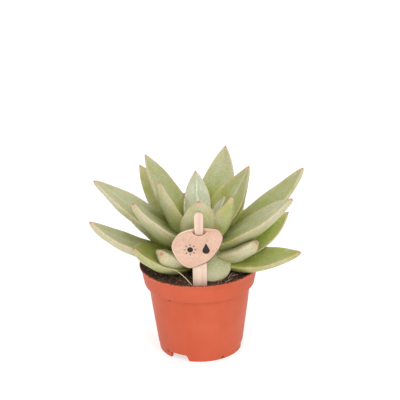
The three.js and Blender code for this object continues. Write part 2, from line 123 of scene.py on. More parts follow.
# Outer side from the foot up, then the rim, then the inner side down to the floor
POT_WALL = [
    (29.4, 0), (29.7, 1.0), (30.0, 4.6), (30.5, 5.6), (32.4, 20), (34.4, 34.5), (36.1, 48.9),
    (36.5, 49.6), (38.4, 50.0), (39.05, 50.5), (39.3, 51.4), (40.2, 56), (41.1, 62),
    (42.2, 63.2), (42.5, 63.8), (42.3, POT_HEIGHT), (41.4, POT_HEIGHT), (40.1, 62.8),
    (38.0, 52.4), (37.4, 51.4), (35.3, 50.9), (34.9, 49.9), (33.1, 34.5), (29.2, 6),
    (28.6, FLOOR_TOP),
]
NOTCH_DIRECTIONS = (-123, -3, 117)
NOTCH_HEIGHT, NOTCH_EASE = 4.6, 0.6
NOTCH_OUTLINE = [
    (-6.7, -1), (8.8, -1), (7.0, NOTCH_HEIGHT - NOTCH_EASE), (6.4, NOTCH_HEIGHT),
    (-6.1, NOTCH_HEIGHT), (-6.7, NOTCH_HEIGHT - NOTCH_EASE),
]
NOTCH_FAR, NOTCH_NEAR = -34, -20

SOIL_RADIUS, SOIL_SIDES, SOIL_RINGS = 40.8, 220, 74
SOIL_FLOOR, SOIL_EDGE, SOIL_CROWN = 4.9, 63, 0.8
# The soil against the pot's floor and inner wall
SOIL_WALL = [
    (28.3, SOIL_FLOOR), (28.9, 6.2), (32.8, 34.5), (34.55, 49.8), (34.9, 51.3), (37.1, 51.8),
    (37.6, 52.7), (39.6, 61.6),
]
STICK_DIP = 1.4
CRUMBS, CRUMBS_REACH, RIM_CRUMBS = 1500, 40.6, 700
CRUMB_SHADES, CRUMB_SHARES = (0.0, 0.08, 0.3, 0.9), (0.46, 0.28, 0.17, 0.09)
RIM_CRUMB_SHADES = (0.0, 0.1)
FIBRES, FIBRES_REACH, FIBRE_STEP = 46, 38, 0.9

LABEL_DISTANCE, LABEL_LEAN, LABEL_FOOT, LABEL_SHIFT = 36.5, 5, 64, 0.4
STICK_WIDTH, STICK_NECK_WIDTH, STICK_HEAD_WIDTH = 9.7, 5.4, 6.4
STICK_POINT, STICK_POINT_END = 52.2, 57
STICK_WAIST_START, STICK_SHOULDER, STICK_NECK = 95, 97, 98
STICK_NECK_TOP, STICK_HEAD_FOOT, STICK_HEAD_CENTRE = 104.0, 107.5, 115.4
STICK_THICKNESS, STICK_BEVEL = 1.4, 0.28
TAG_THICKNESS = 0.8
TAG_GAP = 0.3
TAG_FRONT = -STICK_THICKNESS / 2 - TAG_GAP - TAG_THICKNESS
TAG_CORNERS = [
    (-4.5, 106.0), (-14, 102.8), (-18.6, 94.5), (-15.8, 85.6), (-11, 79.4), (-5.5, 77.4),
    (3.9, 80.8), (9.2, 85.2), (14, 92.3), (16.2, 99.7), (14.3, 104.2), (9.3, 106.2),
]
TAG_COLUMNS, TAG_ROWS_BELOW, TAG_ROWS_ABOVE = 121, 40, 10
SLIT_CENTRE, SLIT_REACH, SLIT_SAG, SLIT_RISE = 0.2, 5.2, 101.9, 2.8
NECK_ROOM = 3.05
TAG_BEND = STICK_THICKNESS + TAG_THICKNESS + 0.65
TAG_BEND_FROM, TAG_BEND_TO = 99, 110.5
SLIT_OPENING, TONGUE_OVERLAP = 0.25, 0.9
SUN_CENTRE, SUN_RADIUS = (-6.2, 91.5), 2.0
RAYS, RAY_START, RAY_END, RAY_HALF_WIDTH = 8, 2.9, 4.3, 0.28
DROP_CENTRE, DROP_RADIUS, DROP_HEIGHT = (4.6, 90.6), 2.5, 5.6

# Soft round or oval lamps: name, direction, distance, width, height and power; lengths in metres
LAMPS = (
    ("key", (-0.25, -0.66, 0.75), 1.6, 0.7, 0.7, 2.4),
    ("glint", (0.29, -0.64, 0.73), 1.6, 0.3, 0.8, 4.6),
    ("front", (-0.03, -1.0, 0.34), 1.8, 1.2, 1.2, 6.0),
    ("top", (0.1, 0.25, 1.0), 1.8, 1.6, 1.6, 5),
)
LAMP_AIM = (0, 0, 0.08)
AIR_GLOW, FLOOR_GLOW = 0.72, 0.62

dice = np.random.default_rng(20)


def smooth(low, high, x):
    t = np.clip((np.asarray(x, float) - low) / (high - low), 0, 1)
    return t * t * (3 - 2 * t)


def linear(red, green, blue):
    """A colour given as 0 to 255 display values."""
    def one(c):
        c /= 255
        return c / 12.92 if c <= 0.04045 else ((c + 0.055) / 1.055) ** 2.4
    return (one(red), one(green), one(blue), 1.0)


# Meshes
def new_object(name, data):
    obj = bpy.data.objects.new(name, data)
    bpy.context.scene.collection.objects.link(obj)
    return obj


def loose_object(name, points, faces, place=None):
    mesh = bpy.data.meshes.new(name)
    mesh.from_pydata((np.asarray(points, float) * MM).tolist(), [], faces)
    if place is not None:
        mesh.transform(place)
    return new_object(name, mesh)


def make_object(name, points, faces, material, replaced=(), sharp=None, place=None):
    obj = loose_object(name, points, faces, place)
    obj.data.validate()
    obj.data.materials.append(material)
    finish_mesh(obj.data, sharp)
    return claim(obj, replaced)


def finish_mesh(mesh, sharp):
    """Smooth shading, with edges left sharp above this angle."""
    mesh.shade_smooth()
    if sharp is not None:
        mesh.set_sharp_from_angle(angle=math.radians(sharp))
    mesh.update()


def claim(obj, replaced):
    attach(obj, "root")
    for node in replaced:
        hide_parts(node)
    return obj


def attribute(mesh, name, values):
    """One number or one vector for each point, which a look reads by name."""
    values = np.asarray(values, np.float32)
    kind, field = ("FLOAT", "value") if values.ndim == 1 else ("FLOAT_VECTOR", "vector")
    layer = mesh.attributes.new(name, kind, "POINT")
    layer.data.foreach_set(field, values.ravel())


def path_points(wanted, known, trail):
    """Points of a path at the wanted distances, from its corners at the known ones."""
    return np.stack([np.interp(wanted, known, trail[:, i]) for i in range(3)], 1)


def curve_points(start, handle, end, steps):
    """Points of a turn from start to end that leans towards the handle."""
    start, handle, end = (np.array(p, float) for p in (start, handle, end))
    return [tuple((1 - t) ** 2 * start + 2 * t * (1 - t) * handle + t ** 2 * end)
            for t in np.linspace(0, 1, steps + 1)]


def ring_faces(rings, points_round):
    """Four-sided faces between closed rings of points."""
    faces = []
    for ring in range(rings - 1):
        for point in range(points_round):
            here = ring * points_round + point
            beside = ring * points_round + (point + 1) % points_round
            faces.append((here, beside, beside + points_round, here + points_round))
    return faces


def capped_faces(rings, sides):
    """Faces of closed rings of points with a single point before and after them."""
    faces = [(0, 1 + (i + 1) % sides, 1 + i) for i in range(sides)]
    faces += [tuple(1 + corner for corner in face) for face in ring_faces(rings, sides)]
    last = 1 + (rings - 1) * sides
    return faces + [(last + i, last + (i + 1) % sides, last + sides) for i in range(sides)]


# Shader nodes
class Look:
    """A procedural material: a Principled shader and the nodes that feed it."""

    def __init__(self, name):
        self.material = bpy.data.materials.new(name)
        self.material.use_nodes = True
        self.tree = self.material.node_tree
        self.tree.nodes.clear()
        output = self.tree.nodes.new("ShaderNodeOutputMaterial")
        self.shader = self.tree.nodes.new("ShaderNodeBsdfPrincipled")
        self.tree.links.new(self.shader.outputs["BSDF"], output.inputs["Surface"])
        self.colour = None

    def feed(self, socket, value):
        if isinstance(value, bpy.types.NodeSocket):
            self.tree.links.new(value, socket)
        elif value is not None:
            socket.default_value = value

    def set(self, **values):
        for name, value in values.items():
            self.feed(self.shader.inputs[name.replace("_", " ")], value)

    def node(self, kind, *inputs, **settings):
        made = self.tree.nodes.new("ShaderNode" + kind)
        for name, value in settings.items():
            setattr(made, name, value)
        for socket, value in zip(made.inputs, inputs):
            self.feed(socket, value)
        return made

    def read(self, name, output="Fac"):
        return self.node("Attribute", attribute_name=name).outputs[output]

    def parts(self, vector):
        return self.node("SeparateXYZ", vector).outputs

    def where(self):
        return self.node("TexCoord").outputs["Object"]

    def stretched(self, vector, scale):
        made = self.node("Mapping")
        self.feed(made.inputs["Vector"], vector)
        made.inputs["Scale"].default_value = scale
        return made.outputs["Vector"]

    def noise(self, vector, scale, detail=3.0, roughness=0.55, distortion=0.0):
        made = self.node("TexNoise")
        for name, value in (("Vector", vector), ("Scale", scale), ("Detail", detail),
                            ("Roughness", roughness), ("Distortion", distortion)):
            self.feed(made.inputs[name], value)
        return made.outputs["Fac"]

    def cells(self, vector, scale):
        made = self.node("TexVoronoi")
        self.feed(made.inputs["Vector"], vector)
        self.feed(made.inputs["Scale"], scale)
        return made.outputs["Distance"]

    def math(self, operation, first, second=None):
        return self.node("Math", first, second, operation=operation).outputs[0]

    def plus(self, first, second):
        return self.math("ADD", first, second)

    def times(self, first, second):
        return self.math("MULTIPLY", first, second)

    def between(self, value, low, high, start=0.0, end=1.0):
        made = self.node("MapRange", interpolation_type="SMOOTHSTEP")
        for name, given in (("Value", value), ("From Min", low), ("From Max", high),
                            ("To Min", start), ("To Max", end)):
            self.feed(made.inputs[name], given)
        return made.outputs["Result"]

    def mix(self, factor, first, second):
        made = self.node("Mix", data_type="RGBA")
        self.feed(made.inputs["Factor"], factor)
        # The colour sockets come after those for numbers and vectors
        self.feed(made.inputs[6], first)
        self.feed(made.inputs[7], second)
        return made.outputs[2]

    def paint(self, factor, colour):
        """Lays a colour over what is painted so far, as strong as the factor."""
        self.colour = self.mix(factor, self.colour, colour)

    def bump(self, height, strength, distance):
        made = self.node("Bump")
        made.inputs["Strength"].default_value = strength
        made.inputs["Distance"].default_value = distance
        self.feed(made.inputs["Height"], height)
        self.set(Normal=made.outputs["Normal"])


# Leaf colours
PALE_GREEN, DEEP_GREEN, FRESH_AND_LIT_GREEN = linear(182, 186, 142), linear(150, 160, 42), linear(186, 204, 62)
BEIGE, BROWN_BEIGE, DUSTY = linear(214, 190, 160), linear(176, 160, 98), linear(184, 180, 158)
MIDDLE_HIGHLIGHT, PALE_MARGIN, WAX = linear(222, 228, 196), linear(224, 194, 168), linear(204, 212, 192)
BLOOM, BARE_SKIN = linear(214, 220, 190), linear(110, 124, 62)
WARM_TIP, RED_POINT = linear(208, 146, 122), linear(176, 88, 76)


# Materials
def leaf_look():
    look = Look("leaf_flesh")
    along, edge, middle = look.parts(look.read("blade", "Vector"))
    deep, blush, gloss = look.parts(look.read("tone", "Vector"))
    face = look.read("face")
    where = look.where()
    cloudy = look.noise(where, 45.0, 3.0, 0.6)
    streaky = look.noise(look.stretched(where, (1.0, 1.0, 0.35)), 190.0, 4.0, 0.6)
    speckle = look.noise(where, 950.0, 3.0, 0.75)
    mottle = look.noise(where, 420.0, 3.0, 0.7)

    # Deep green at the seat and in the leaves given a deep tone, pale green outwards; on leaves that
    # sit in shade the deep tone is partly painted shade
    seat = look.between(along, 0.05, 0.8, 0.62, 0.0)
    depth = look.plus(seat, look.times(deep, 0.6))
    depth = look.plus(depth, look.between(cloudy, 0.3, 0.7, -0.22, 0.22))
    depth = look.plus(depth, look.between(streaky, 0.3, 0.7, -0.12, 0.12))
    depth = look.plus(depth, look.times(face, 0.05))
    depth = look.between(depth, 0.0, 1.15)
    look.colour = look.mix(depth, PALE_GREEN, DEEP_GREEN)

    # Where the blush is below 0 the leaf is fresh yellow-green instead, partly painted light that
    # brightens leaves sitting in shade
    look.paint(look.between(blush, 0.0, -1.0), FRESH_AND_LIT_GREEN)

    # Beige and pink blush towards the edges and the tip, browner in the deep green; on leaves in shade
    # that brown is partly painted shade
    flush = look.times(look.between(along, 0.4, 1.0, 0.0, 0.7), blush)
    flush = look.times(flush, look.between(cloudy, 0.25, 0.75, 0.4, 1.0))
    band = look.times(look.between(edge, 0.2, 5.5, 0.7, 0.0), look.between(along, 0.1, 0.5))
    band = look.times(band, look.between(mottle, 0.3, 0.65, 0.55, 1.0))
    flush = look.math("MAXIMUM", flush, band)
    tint = look.mix(depth, BEIGE, BROWN_BEIGE)
    look.paint(flush, tint)
    dusty = look.times(look.between(mottle, 0.5, 0.68), look.between(depth, 0.0, 1.0, 0.45, 0.1))
    look.paint(dusty, DUSTY)

    # A painted highlight along the middle of some leaves and a thin pale margin
    line = look.between(look.math("ABSOLUTE", middle), 0.1, 1.5, 0.55, 0.0)
    line = look.times(line, look.between(along, 0.1, 0.4))
    line = look.times(line, look.read("line"))
    look.paint(line, MIDDLE_HIGHLIGHT)
    margin = look.between(edge, 0.05, 0.9, 0.45, 0.0)
    margin = look.times(margin, look.between(along, 0.1, 0.35))
    margin = look.times(margin, look.read("sharp_edge"))
    look.paint(margin, PALE_MARGIN)

    # Pale wax on the young leaves of the heart
    wax = look.between(gloss, 0.7, 1.0, 0.0, 0.45)
    look.paint(wax, WAX)

    # Bloom speckles
    light = look.times(look.between(speckle, 0.5, 0.68), look.between(depth, 0.0, 1.0, 0.38, 0.16))
    look.paint(light, BLOOM)
    look.paint(look.between(speckle, 0.48, 0.32, 0.0, 0.34), BARE_SKIN)

    # Reddish point
    distance = look.read("to_tip")
    warm = look.between(distance, 0.8, 6.0, 0.36, 0.0)
    look.paint(warm, WARM_TIP)
    point = look.between(distance, 0.6, 2.4, 0.75, 0.0)
    look.paint(point, RED_POINT)

    # Where the bloom is rubbed off, the skin shines
    rubbed = look.between(look.math("ABSOLUTE", middle), 1.0, 3.5, 1.0, 0.0)
    rubbed = look.times(rubbed, look.between(gloss, 0.5, 1.0))
    rough = look.between(gloss, 0.0, 1.0, 0.5, 0.3)
    rough = look.plus(rough, look.between(streaky, 0.3, 0.7, -0.04, 0.06))
    rough = look.math("SUBTRACT", rough, look.times(rubbed, 0.14))
    look.set(Base_Color=look.colour, Roughness=rough, Specular_IOR_Level=0.5,
             Subsurface_Weight=0.14, Subsurface_Scale=0.004,
             Subsurface_Radius=(1.0, 0.95, 0.6), Sheen_Weight=0.05, Sheen_Roughness=0.5)
    look.bump(look.plus(speckle, look.times(streaky, 2.0)), 0.12, 0.00025)
    return look.material


def pot_look():
    look = Look("pot_plastic")
    where = look.where()
    cloudy = look.noise(where, 28.0, 3.0, 0.55)
    flow = look.noise(look.stretched(where, (1.0, 1.0, 0.12)), 260.0, 3.0, 0.6)
    grain = look.noise(where, 2200.0, 2.0, 0.6)
    look.colour = look.mix(look.between(cloudy, 0.3, 0.7), linear(194, 84, 52), linear(202, 93, 61))
    look.paint(look.between(flow, 0.45, 0.75, 0.0, 0.12), linear(216, 114, 82))

    # Specks of dust in patches, and the larger dark marks
    dust = look.between(look.cells(where, 420.0), 0.07, 0.03, 0.0, 0.5)
    dust = look.times(dust, look.between(look.noise(where, 70.0), 0.5, 0.62))
    look.paint(dust, linear(120, 66, 46))
    for mark, size in POT_MARKS:
        away = look.node("VectorMath", where, mark, operation="DISTANCE").outputs["Value"]
        spot = look.between(away, size * 0.4, size, 0.85, 0.0)
        look.paint(spot, linear(70, 34, 26))

    # Painted shade: darker towards the foot
    height = look.parts(where)[2]
    look.paint(look.between(height, 0.0, 0.03, 0.35, 0.0), linear(190, 78, 46))

    # Soil dust along the rim's top, with a ragged edge
    reach = look.between(look.noise(where, 650.0), 0.35, 0.65, -0.0006, 0.0004)
    reach = look.between(look.plus(height, reach), 0.0639, 0.0643, 0.0, 0.85)
    look.paint(reach, linear(96, 50, 38))
    look.set(Base_Color=look.colour, Roughness=look.between(flow, 0.3, 0.7, 0.46, 0.56),
             Specular_IOR_Level=0.25, Subsurface_Weight=0.06, Subsurface_Scale=0.002,
             Subsurface_Radius=(1.0, 0.4, 0.2))
    look.bump(look.plus(grain, look.times(flow, 0.8)), 0.12, 0.0002)
    return look.material


def soil_look():
    look = Look("potting_soil")
    where = look.where()
    shade = look.read("shade")
    crumb = look.noise(where, 700.0, 5.0, 0.7)
    patch = look.noise(where, 160.0, 3.0, 0.6)
    look.colour = look.mix(look.between(crumb, 0.35, 0.7), linear(38, 27, 22), linear(118, 90, 74))
    look.paint(look.between(patch, 0.4, 0.7, 0.0, 0.5), linear(62, 44, 35))
    look.paint(look.between(shade, 0.0, 1.0), linear(150, 118, 92))
    look.set(Base_Color=look.colour, Roughness=look.between(crumb, 0.3, 0.7, 0.8, 0.98),
             Specular_IOR_Level=0.25)
    look.bump(look.plus(crumb, patch), 0.6, 0.0006)
    return look.material


def straw_look():
    look = Look("dry_fibre")
    where = look.where()
    streak = look.noise(where, 900.0, 3.0, 0.6)
    look.colour = look.mix(look.between(streak, 0.3, 0.7), linear(96, 72, 54), linear(164, 134, 104))
    look.paint(look.read("shade"), linear(214, 194, 150))
    look.set(Base_Color=look.colour, Roughness=0.7)
    look.bump(streak, 0.3, 0.0002)
    return look.material


def stem_look():
    look = Look("stem_skin")
    where = look.where()
    scar = look.noise(look.stretched(where, (1.0, 1.0, 3.0)), 260.0, 3.0, 0.6)
    look.colour = look.mix(look.between(scar, 0.35, 0.65), linear(126, 134, 84), linear(168, 160, 116))
    look.set(Base_Color=look.colour, Roughness=0.6)
    look.bump(scar, 0.4, 0.0004)
    return look.material


def wood_look():
    look = Look("stick_wood")
    where = look.where()
    grain = look.noise(look.stretched(where, (1.0, 1.0, 0.035)), 1500.0, 4.0, 0.6, 0.3)
    bands = look.noise(look.stretched(where, (1.0, 1.0, 0.05)), 330.0, 3.0, 0.5)
    pores = look.cells(look.stretched(where, (1.0, 1.0, 0.12)), 2200.0)
    look.colour = look.mix(look.between(bands, 0.3, 0.7), linear(227, 203, 184), linear(213, 183, 162))
    look.paint(look.between(grain, 0.5, 0.72, 0.0, 0.32), linear(206, 168, 138))
    look.paint(look.between(pores, 0.2, 0.05, 0.0, 0.22), linear(192, 152, 124))
    look.set(Base_Color=look.colour, Roughness=look.between(grain, 0.3, 0.7, 0.66, 0.8),
             Specular_IOR_Level=0.3)
    look.bump(look.plus(grain, look.times(bands, 0.5)), 0.22, 0.00025)
    return look.material


def card_look(name, light, dark, fleck):
    look = Look(name)
    where = look.where()
    pulp = look.noise(where, 1000.0, 4.0, 0.75)
    fibre = look.noise(look.stretched(where, (0.35, 1.0, 1.0)), 2600.0, 2.0, 0.6, 1.2)
    cloudy = look.noise(where, 120.0, 3.0, 0.55)
    look.colour = look.mix(look.between(cloudy, 0.3, 0.7), light, dark)
    look.paint(look.between(pulp, 0.5, 0.7, 0.0, 0.55), fleck)
    look.paint(look.between(fibre, 0.56, 0.74, 0.0, 0.5), fleck)
    # Painted shade along the card's lower right edge and a painted highlight along its upper left edge
    inwards, shaded_side, _ = look.parts(look.read("rim", "Vector"))
    close = look.between(inwards, 0.2, 0.9, 1.0, 0.0)
    painted_edge_shade = look.times(close, look.between(shaded_side, 0.0, 0.8, 0.0, 0.85))
    painted_edge_highlight = look.times(close, look.between(shaded_side, 0.1, -0.6, 0.0, 0.5))
    look.paint(painted_edge_shade, linear(64, 40, 30))
    look.paint(painted_edge_highlight, linear(248, 222, 200))
    look.set(Base_Color=look.colour, Roughness=look.between(pulp, 0.3, 0.7, 0.8, 0.92),
             Specular_IOR_Level=0.25)
    look.bump(look.plus(pulp, fibre), 0.35, 0.0002)
    return look.material


def ink_look():
    look = Look("tag_ink")
    where = look.where()
    worn = look.noise(where, 1800.0, 3.0, 0.7)
    look.colour = look.mix(look.between(worn, 0.35, 0.75), linear(24, 16, 13), linear(46, 34, 29))
    look.set(Base_Color=look.colour, Roughness=look.between(worn, 0.3, 0.7, 0.6, 0.85))
    return look.material


def floor_look():
    look = Look("studio_floor")
    where = look.where()
    faint = look.noise(where, 3.0, 2.0, 0.5)
    look.colour = look.mix(look.between(faint, 0.3, 0.7), (0.5, 0.5, 0.5, 1), (0.52, 0.52, 0.52, 1))
    look.set(Base_Color=look.colour, Roughness=0.7, Specular_IOR_Level=0.2,
             Emission_Color=(1.0, 1.0, 1.0, 1.0), Emission_Strength=FLOOR_GLOW)
    return look.material


LEAF_FLESH = leaf_look()
POT_PLASTIC = pot_look()
SOIL = soil_look()
STRAW = straw_look()
STEM_SKIN = stem_look()
STICK_WOOD = wood_look()
TAG_CARD = card_look("tag_card", linear(220, 184, 162), linear(210, 172, 150), linear(164, 118, 98))
TAG_EDGE = card_look("tag_cut_edge", linear(118, 78, 58), linear(92, 58, 42), linear(70, 44, 34))
TAG_INK = ink_look()


# Leaves
def leaf_half_width(along, width, blunt):
    widest = LEAF_WIDEST + (ROUND_LEAF_WIDEST - LEAF_WIDEST) * blunt
    rise = np.sin(math.pi / 2 * np.clip(along / widest, 0, 1))
    fall = np.clip((along - widest) / (1 - widest), 0, 1)
    outer = (1 - fall ** 2) * (1 - blunt) + np.sqrt(1 - fall ** 2.4) * blunt
    inner = LEAF_SEAT_SHARE + (1 - LEAF_SEAT_SHARE) * rise
    return width / 2 * np.where(along < widest, inner, outer)


def leaf_depth(along, width, blunt):
    fall = np.clip((along - 0.3) / 0.7, 0, 1)
    tapered = (1 - fall ** 2) * (1 - blunt) + np.sqrt(1 - fall ** 2.6) * blunt
    return LEAF_PLUMPNESS * width * (0.85 + 0.15 * np.clip(along / 0.3, 0, 1)) * tapered


def stem_radius(height):
    climb = np.clip((height - STEM_NECK_HEIGHT) / (STEM_TOP - STEM_NECK_HEIGHT), 0, 1)
    return STEM_NECK_RADIUS + (STEM_TOP_RADIUS - STEM_NECK_RADIUS) * climb


def turn_about(vectors, axes, angle):
    """Turns each vector about its own unit axis."""
    dot = np.sum(vectors * axes, axis=1, keepdims=True)
    return (vectors * math.cos(angle) + np.cross(axes, vectors) * math.sin(angle)
            + axes * dot * (1 - math.cos(angle)))


def leaf_axes(leaf, along):
    direction, _, rise, curl, _, _, roll, sweep = leaf[:8]
    climb = np.radians(rise + curl * along)
    turn = np.radians(direction + sweep * along)
    forward = np.stack([np.cos(turn) * np.cos(climb), np.sin(turn) * np.cos(climb),
                        np.sin(climb)], axis=1)
    side = np.stack([-np.sin(turn), np.cos(turn), np.zeros_like(turn)], axis=1)
    side = turn_about(side, forward, math.radians(roll))
    return forward, side, np.cross(forward, side)


def leaf_spine(leaf, distances):
    """Points on the leaf's middle line at these distances from its seat."""
    direction, seat, _, _, length = leaf[:5]
    angle = math.radians(direction)
    start = np.array([math.cos(angle), math.sin(angle), 0.0])
    start *= max(stem_radius(seat) - LEAF_SEAT_DEPTH, 0.5)
    start[2] = seat
    steps = np.linspace(0, 1.1, 441)
    forward, _, _ = leaf_axes(leaf, np.clip((steps[1:] + steps[:-1]) / 2, 0, 1))
    trail = np.vstack([[0, 0, 0], np.cumsum(forward * np.diff(steps)[:, None], axis=0)]) * length
    return start + path_points(distances, steps * length, trail)


def add_leaf(number, leaf):
    length, width, blunt = leaf[4], leaf[5], leaf[8]
    deep, blush, gloss, line = leaf[9:]
    waves = np.random.default_rng(100 + number).uniform(0, 2 * math.pi, 5)
    total = length + ROUND_LEAF_EXTRA * blunt

    # Rings from the seat to the tip, closer together towards the tip
    rings = 1 - (1 - np.linspace(0, 1, LEAF_RINGS + 1)[:-1]) ** 1.5
    distances = rings * total
    along = np.clip(distances / length, 0, 1)
    point = TIP_RADIUS * np.sqrt(np.clip((total - distances) / TIP_LENGTH, 0, 1))
    half = leaf_half_width(along, width, blunt)
    half = half * (1 + 0.012 * np.sin(8 * along + waves[0]))
    half = np.maximum(half, point)
    depth = np.maximum(leaf_depth(along, width, blunt), point * 0.6)
    margin = np.minimum(LEAF_MARGIN + (ROUND_LEAF_MARGIN - LEAF_MARGIN) * blunt, half * 0.8) / 2
    keel = 2 - 0.5 * along
    hollow = LEAF_HOLLOW * (1 - blunt) + ROUND_LEAF_HOLLOW * blunt
    channel = hollow * depth * np.clip(0.2 + 1.2 * along, 0, 1)
    body = np.clip(half / 5, 0, 1) * smooth(0.05, 0.3, along)

    # Across the leaf: the channel and crease above, the full underside with its ridge below,
    # slow waves in both, and a rounded margin between them
    column = np.cos(math.pi * np.arange(LEAF_HALF_POINTS + 1) / LEAF_HALF_POINTS)
    inset = np.abs(column)[None, :]
    wave = (0.3 * np.sin(10 * along[:, None] + 1.6 * column[None, :] + waves[1])
            + 0.14 * np.sin(21 * along[:, None] - 2.8 * column[None, :] + waves[2]))
    wave = wave * body[:, None]
    swell = 0.16 * np.sin(13 * along[:, None] + 2.2 * column[None, :] + waves[3]) * body[:, None]
    inner = (half - margin * 0.9)[:, None]
    crease = CREASE_DEPTH * (1 - blunt) * np.exp(-(column / CREASE_WIDTH) ** 2)[None, :] * body[:, None]
    ridge = RIDGE_HEIGHT * np.exp(-(column / RIDGE_WIDTH) ** 2)[None, :] * body[:, None]
    low_flat = (1 - inset ** keel[:, None]) ** 0.85
    top = margin[:, None] - channel[:, None] * (1 - inset ** 1.7) - crease + wave
    bottom = -margin[:, None] - depth[:, None] * low_flat - ridge * low_flat + wave
    bottom = bottom - swell * (1 - inset ** 2)
    lateral = inner * column[None, :]
    bulge = np.radians(MARGIN_CURVE)
    round_out = inner + (margin * 0.9)[:, None] * np.cos(bulge)[None, :]
    round_up = margin[:, None] * np.sin(bulge)[None, :]

    across = np.hstack([lateral, -round_out, lateral[:, ::-1], round_out])
    height = np.hstack([top, round_up + wave[:, -1:], bottom[:, ::-1], -round_up + wave[:, :1]])
    face = np.hstack([np.ones_like(top), np.zeros_like(round_up), -np.ones_like(top),
                      np.zeros_like(round_up)])

    # Points and faces of the closed body
    _, side, up = leaf_axes(leaf, along)
    spine = leaf_spine(leaf, distances)
    cloud = (spine[:, None, :] + across[:, :, None] * side[:, None, :]
             + height[:, :, None] * up[:, None, :])
    ends = leaf_spine(leaf, np.array([0.0, total]))
    points_round = across.shape[1]
    points = np.vstack([cloud.reshape(-1, 3), ends[1:]])
    faces = ring_faces(LEAF_RINGS, points_round)
    last = (LEAF_RINGS - 1) * points_round
    tip = len(points) - 1
    faces += [(last + i, last + (i + 1) % points_round, tip) for i in range(points_round)]
    faces.append(tuple(range(points_round))[::-1])

    name = "leaf_%02d" % number
    obj = make_object("fleshy_" + name, points, faces, LEAF_FLESH, [name], 60)

    # What the leaf's look reads
    spread = np.repeat((distances / total)[:, None], points_round, 1)
    edge = half[:, None] - np.abs(across)
    left = np.linalg.norm(cloud - ends[1], axis=2)
    blade = np.stack([spread, edge, across], axis=2).reshape(-1, 3)
    attribute(obj.data, "blade", np.vstack([blade, [[1, 0, 0]]]))
    attribute(obj.data, "face", np.append(face.ravel(), 0))
    attribute(obj.data, "to_tip", np.append(left.ravel(), 0))
    attribute(obj.data, "tone", np.tile([deep, blush, gloss], (len(points), 1)))
    attribute(obj.data, "line", np.full(len(points), line))
    attribute(obj.data, "sharp_edge", np.full(len(points), 1 - blunt))
    return obj


for number, leaf in enumerate(LEAVES, 1):
    add_leaf(number, leaf)


# Turned pieces: a profile of radius and height, turned about the upright axis
def eased(profile, radius):
    """The profile with each corner between its ends rounded by about this radius."""
    made = [profile[0]]
    for before, corner, after in zip(profile, profile[1:], profile[2:]):
        before, corner, after = (np.array(p, float) for p in (before, corner, after))
        one, two = before - corner, after - corner
        reach = min(radius, np.linalg.norm(one) * 0.45, np.linalg.norm(two) * 0.45)
        start = corner + one / np.linalg.norm(one) * reach
        end = corner + two / np.linalg.norm(two) * reach
        made += curve_points(start, corner, end, 4)
    return made + [profile[-1]]


def turned(profile, sides):
    """Points and faces of a closed turned body whose profile starts and ends on the axis."""
    angles = 2 * math.pi * np.arange(sides) / sides
    rings = np.array(profile[1:-1], float)
    points = [(0, 0, profile[0][1])]
    for radius, height in rings:
        points += [(radius * math.cos(a), radius * math.sin(a), height) for a in angles]
    points.append((0, 0, profile[-1][1]))
    return points, capped_faces(len(rings), sides)


def cut(obj, cutter):
    """Takes the cutter's body out of the object."""
    modifier = obj.modifiers.new("cut", "BOOLEAN")
    modifier.operation = "DIFFERENCE"
    modifier.solver = "EXACT"
    modifier.object = cutter
    graph = bpy.context.evaluated_depsgraph_get()
    shaped = bpy.data.meshes.new_from_object(obj.evaluated_get(graph))
    obj.modifiers.clear()
    obj.data = shaped
    bpy.data.objects.remove(cutter)


def prism(outline, near, far):
    """Points and faces of an upright outline in X and Z, between two distances in Y."""
    count = len(outline)
    points = [(x, near, z) for x, z in outline] + [(x, far, z) for x, z in outline]
    faces = [tuple(range(count)), tuple(range(2 * count - 1, count - 1, -1))]
    faces += [((i + 1) % count, i, count + i, count + (i + 1) % count) for i in range(count)]
    return points, faces


def add_pot():
    underside = [(0, 0), (CENTRE_PAD_RADIUS, 0), (CENTRE_PAD_RADIUS, FLOOR_UNDERSIDE),
                 (FOOT_INNER_RADIUS, FLOOR_UNDERSIDE), (FOOT_INNER_RADIUS, 0)]
    profile = underside + POT_WALL + [(0, FLOOR_TOP)]
    points, faces = turned(eased(profile, POT_CORNER_RADIUS), POT_SIDES)
    obj = loose_object("moulded_pot", points, faces)
    for direction in NOTCH_DIRECTIONS:
        spin = Matrix.Rotation(math.radians(direction + 90), 4, "Z")
        cut(obj, loose_object("notch", *prism(NOTCH_OUTLINE, NOTCH_FAR, NOTCH_NEAR), place=spin))
    obj.data.materials.clear()
    obj.data.materials.append(POT_PLASTIC)
    finish_mesh(obj.data, 38)
    return claim(obj, ["pot"])


add_pot()


# Potting soil
def soil_height(x, y):
    """The soil's crown with low lumps, a little higher at the left."""
    reach = np.clip(np.hypot(x, y) / 40.5, 0, 1)
    crown = SOIL_EDGE + SOIL_CROWN * (1 - reach ** 2)
    lumps = 0.45 * np.sin(0.31 * x + 1.1) * np.cos(0.27 * y - 0.4)
    lumps = lumps + 0.3 * np.sin(0.63 * y + 0.52 * x)
    return crown + lumps + 1.3 * np.clip(-x / 42.5, 0, 1) * reach


ripples = [(dice.uniform(0.5, 4.5), dice.uniform(0, 2 * math.pi), dice.uniform(0, 2 * math.pi))
           for _ in range(40)]


def soil_roughness(x, y):
    """The sum of the ripples, the long ones higher than the short ones."""
    total = np.zeros_like(x)
    for pitch, heading, phase in ripples:
        total += np.sin(pitch * (x * math.cos(heading) + y * math.sin(heading)) + phase) / (1 + pitch)
    return 0.16 * total


def beside_stick(x, y, reach, front):
    """Whether a place is this near to the stick's foot and further forward than this."""
    return (np.abs(x - LABEL_SHIFT) < reach) & (y < front)


